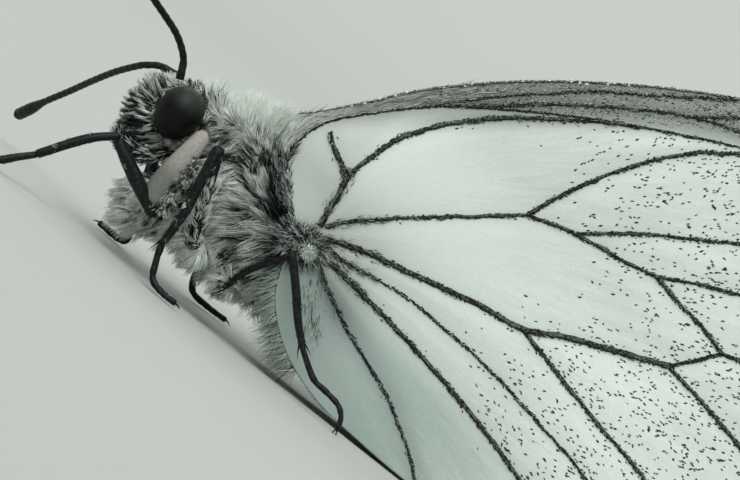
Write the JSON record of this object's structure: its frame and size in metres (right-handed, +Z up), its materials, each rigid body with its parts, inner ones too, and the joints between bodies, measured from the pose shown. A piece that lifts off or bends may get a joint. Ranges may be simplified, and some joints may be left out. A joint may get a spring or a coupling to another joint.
{
  "type": "black-veined white butterfly",
  "caption": "Life-size still butterfly at rest: furry body, wings closed over the back, legs on the floor, for display.",
  "frame": {"origin": "middle of the bounding box on the floor that the feet and the lower edges of the hindwings rest on", "axes": "+X from the head to the tail, +Y to the butterfly's right side, +Z up"},
  "size_m": [0.0458, 0.018, 0.0262],
  "materials": {
    "wing": "matte scales, slightly pearly, with black-scaled veins",
    "fur": "long silky grey-white and black hair",
    "eye": "near-black, softly glossy, finely faceted",
    "leg": "black, finely scaled and hairy",
    "feeler": "black, ringed",
    "tongue": "dark brown, satin"
  },
  "bodies": {
    "root": {"abdomen": "fur", "antenna_club_left": "feeler", "antenna_club_right": "feeler", "antenna_shaft_left": "feeler", "antenna_shaft_right": "feeler", "eye_left": "eye", "eye_right": "eye", "femur_fore_left": "leg", "femur_fore_right": "leg", "femur_hind_left": "leg", "femur_hind_right": "leg", "femur_mid_left": "leg", "femur_mid_right": "leg", "forewing_left": "wing", "forewing_right": "wing", "head": "fur", "hindwing_left": "wing", "hindwing_right": "wing", "palp_left": "fur", "palp_right": "fur", "proboscis": "tongue", "prothorax": "fur", "tarsus_fore_left": "leg", "tarsus_fore_right": "leg", "tarsus_hind_left": "leg", "tarsus_hind_right": "leg", "tarsus_mid_left": "leg", "tarsus_mid_right": "leg", "thorax": "fur", "tibia_fore_left": "leg", "tibia_fore_right": "leg", "tibia_hind_left": "leg", "tibia_hind_right": "leg", "tibia_mid_left": "leg", "tibia_mid_right": "leg"}
  },
  "joints": []
}
